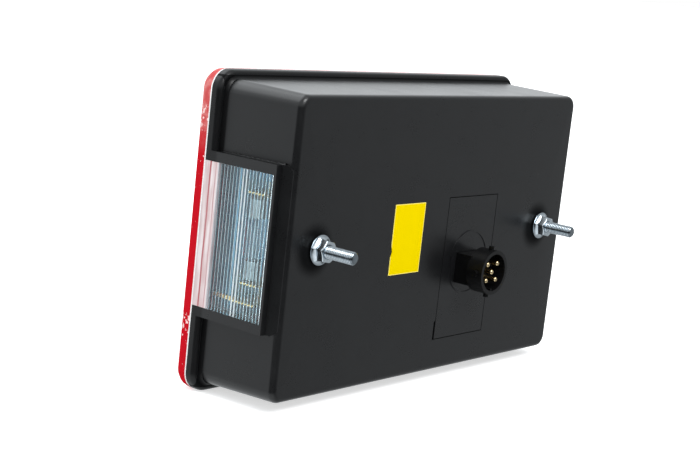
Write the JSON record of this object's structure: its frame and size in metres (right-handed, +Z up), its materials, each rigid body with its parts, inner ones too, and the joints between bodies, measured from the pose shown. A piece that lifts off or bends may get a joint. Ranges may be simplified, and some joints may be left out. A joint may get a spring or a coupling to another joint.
{
  "type": "rear combination lamp",
  "caption": "Box-shaped rear combination lamp with a red and amber lens, a fluted number plate window, rear studs with flange nuts and a bayonet plug socket.",
  "frame": {"origin": "midway between the two studs, on the mounting face", "axes": "+X towards the number plate window, +Y out of the mounting face along the studs, so the lens faces -Y, +Z up"},
  "size_m": [0.1968, 0.0663, 0.1248],
  "materials": {
    "housing_plastic": "satin black moulded plastic",
    "plate_plastic": "satin black moulded plastic",
    "socket_plastic": "deep black moulded plastic",
    "black_rubber": "black rubber",
    "white_seal": "white sealing strip",
    "red_lens": "glossy translucent red",
    "amber_lens": "glossy translucent amber",
    "reflex_red": "prismatic red",
    "clear_window": "clear, fluted inside",
    "pin_brass": "tinned brass",
    "strip_brass": "bright brass",
    "zinc_steel": "bright zinc plated",
    "yellow_label": "glossy yellow sticker",
    "metallised_carrier": "metallised, blue-grey",
    "holder_steel": "plated sheet steel",
    "bulb_metal": "nickelled",
    "bulb_glass": "clear glass"
  },
  "bodies": {
    "root": {"housing": "housing_plastic", "lens_red": "red_lens", "lens_amber": "amber_lens", "reflex_reflector": "reflex_red", "lens_seal": "white_seal", "plate_window": "clear_window", "socket_plate": "plate_plastic", "bayonet_socket": "socket_plastic", "pin_carrier": "socket_plastic", "socket_seal": "black_rubber", "contact_pin_1": "pin_brass", "contact_pin_2": "pin_brass", "contact_pin_3": "pin_brass", "contact_pin_4": "pin_brass", "contact_pin_5": "pin_brass", "stud_left": "zinc_steel", "stud_right": "zinc_steel", "flange_nut_left": "zinc_steel", "flange_nut_right": "zinc_steel", "label": "yellow_label", "lens_screw_1": "zinc_steel", "lens_screw_2": "zinc_steel", "lens_screw_3": "zinc_steel", "lens_screw_4": "zinc_steel", "bulb_carrier": "metallised_carrier", "indicator_holder": "holder_steel", "stop_tail_holder": "holder_steel", "fog_holder": "holder_steel", "indicator_bulb_base": "bulb_metal", "indicator_bulb_glass": "bulb_glass", "stop_tail_bulb_base": "bulb_metal", "stop_tail_bulb_glass": "bulb_glass", "fog_bulb_base": "bulb_metal", "fog_bulb_glass": "bulb_glass", "plate_bulb_glass": "bulb_glass", "plate_bulb_cap_upper": "bulb_metal", "plate_bulb_cap_lower": "bulb_metal", "plate_contact_upper": "strip_brass", "plate_contact_lower": "strip_brass", "earth_strip": "strip_brass", "indicator_strip": "strip_brass", "stop_strip": "strip_brass", "tail_strip": "strip_brass", "fog_strip": "strip_brass"}
  },
  "joints": []
}
